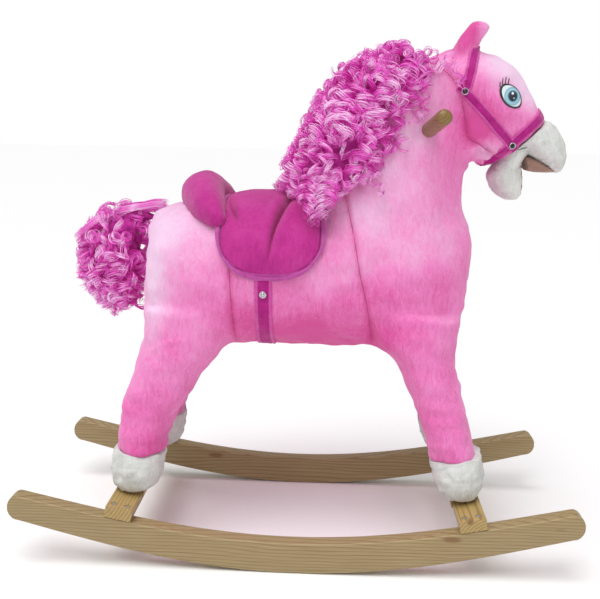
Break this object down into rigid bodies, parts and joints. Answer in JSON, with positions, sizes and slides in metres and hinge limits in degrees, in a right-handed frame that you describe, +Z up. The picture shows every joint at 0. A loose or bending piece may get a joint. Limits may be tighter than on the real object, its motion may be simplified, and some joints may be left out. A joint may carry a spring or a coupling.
{
  "type": "rocking horse",
  "caption": "Plush rocking horse: curved wooden rockers joined by crossbars, a stuffed body with saddle, side grips, curly mane, and a moving jaw and tail.",
  "frame": {"origin": "on the floor under the middle of the two rockers", "axes": "+X towards the horse's head, +Y to the horse's left, +Z up"},
  "size_m": [0.74, 0.3, 0.6995],
  "materials": {
    "pink_plush": "matte",
    "white_plush": "matte",
    "magenta_velour": "matte",
    "pink_webbing": "satin",
    "magenta_hair": "satin",
    "mouth_lining": "matte",
    "eye_print": "satin",
    "pine": "satin",
    "frame_pine": "matte",
    "zinc_steel": "satin",
    "black_enamel": "gloss",
    "white_plastic": "satin"
  },
  "bodies": {
    "body": {"bar_screw_front_left_1": "zinc_steel", "bar_screw_front_left_2": "zinc_steel", "bar_screw_front_right_1": "zinc_steel", "bar_screw_front_right_2": "zinc_steel", "bar_screw_rear_left_1": "zinc_steel", "bar_screw_rear_left_2": "zinc_steel", "bar_screw_rear_right_1": "zinc_steel", "bar_screw_rear_right_2": "zinc_steel", "battery_door": "white_plastic", "battery_sound_box": "white_plastic", "bridle_rivet_high_left": "black_enamel", "bridle_rivet_high_right": "black_enamel", "bridle_rivet_low_left": "black_enamel", "bridle_rivet_low_right": "black_enamel", "cantle_roll": "magenta_velour", "cheek_strap_left": "pink_webbing", "cheek_strap_right": "pink_webbing", "crossbar_front": "pine", "crossbar_rear": "pine", "crown_strap": "pink_webbing", "ear_left": "pink_plush", "ear_right": "pink_plush", "eye_left": "eye_print", "eye_right": "eye_print", "girth_strap": "pink_webbing", "girth_stud": "zinc_steel", "handle_left": "pine", "handle_right": "pine", "head_plush": "pink_plush", "hoof_cuff_front_left": "white_plush", "hoof_cuff_front_right": "white_plush", "hoof_cuff_rear_left": "white_plush", "hoof_cuff_rear_right": "white_plush", "jaw_hinge_pin": "zinc_steel", "leg_post_front_left": "frame_pine", "leg_post_front_right": "frame_pine", "leg_post_rear_left": "frame_pine", "leg_post_rear_right": "frame_pine", "leg_sleeve_front_left": "pink_plush", "leg_sleeve_front_right": "pink_plush", "leg_sleeve_rear_left": "pink_plush", "leg_sleeve_rear_right": "pink_plush", "mane": "magenta_hair", "mouth_gearbox": "white_plastic", "muzzle_plush": "white_plush", "neck_board": "frame_pine", "neck_plush": "pink_plush", "noseband": "pink_webbing", "palate_lining": "mouth_lining", "rocker_left": "pine", "rocker_right": "pine", "saddle_cover": "magenta_velour", "seat_board": "frame_pine", "tail_gearbox": "white_plastic", "torso_plush": "pink_plush"},
    "jaw": {"jaw_plush": "white_plush", "jaw_arm": "white_plastic"},
    "tail": {"tail_hair": "magenta_hair", "tail_rod": "white_plastic"},
    "switch": {"power_switch": "black_enamel"}
  },
  "joints": [
    {"name": "jaw_swing", "type": "hinge", "parent": "body", "child": "jaw", "pos_m": [0.271, 0, 0.5385], "axis": [0, -1, 0], "range_deg": [0, 15]},
    {"name": "tail_wag", "type": "hinge", "parent": "body", "child": "tail", "pos_m": [-0.18, 0, 0.433], "axis": [0, 0, 1], "range_deg": [-12, 12]},
    {"name": "power_slide", "type": "slide", "parent": "body", "child": "switch", "axis": [0, 1, 0], "range_m": [0, 0.004]}
  ]
}
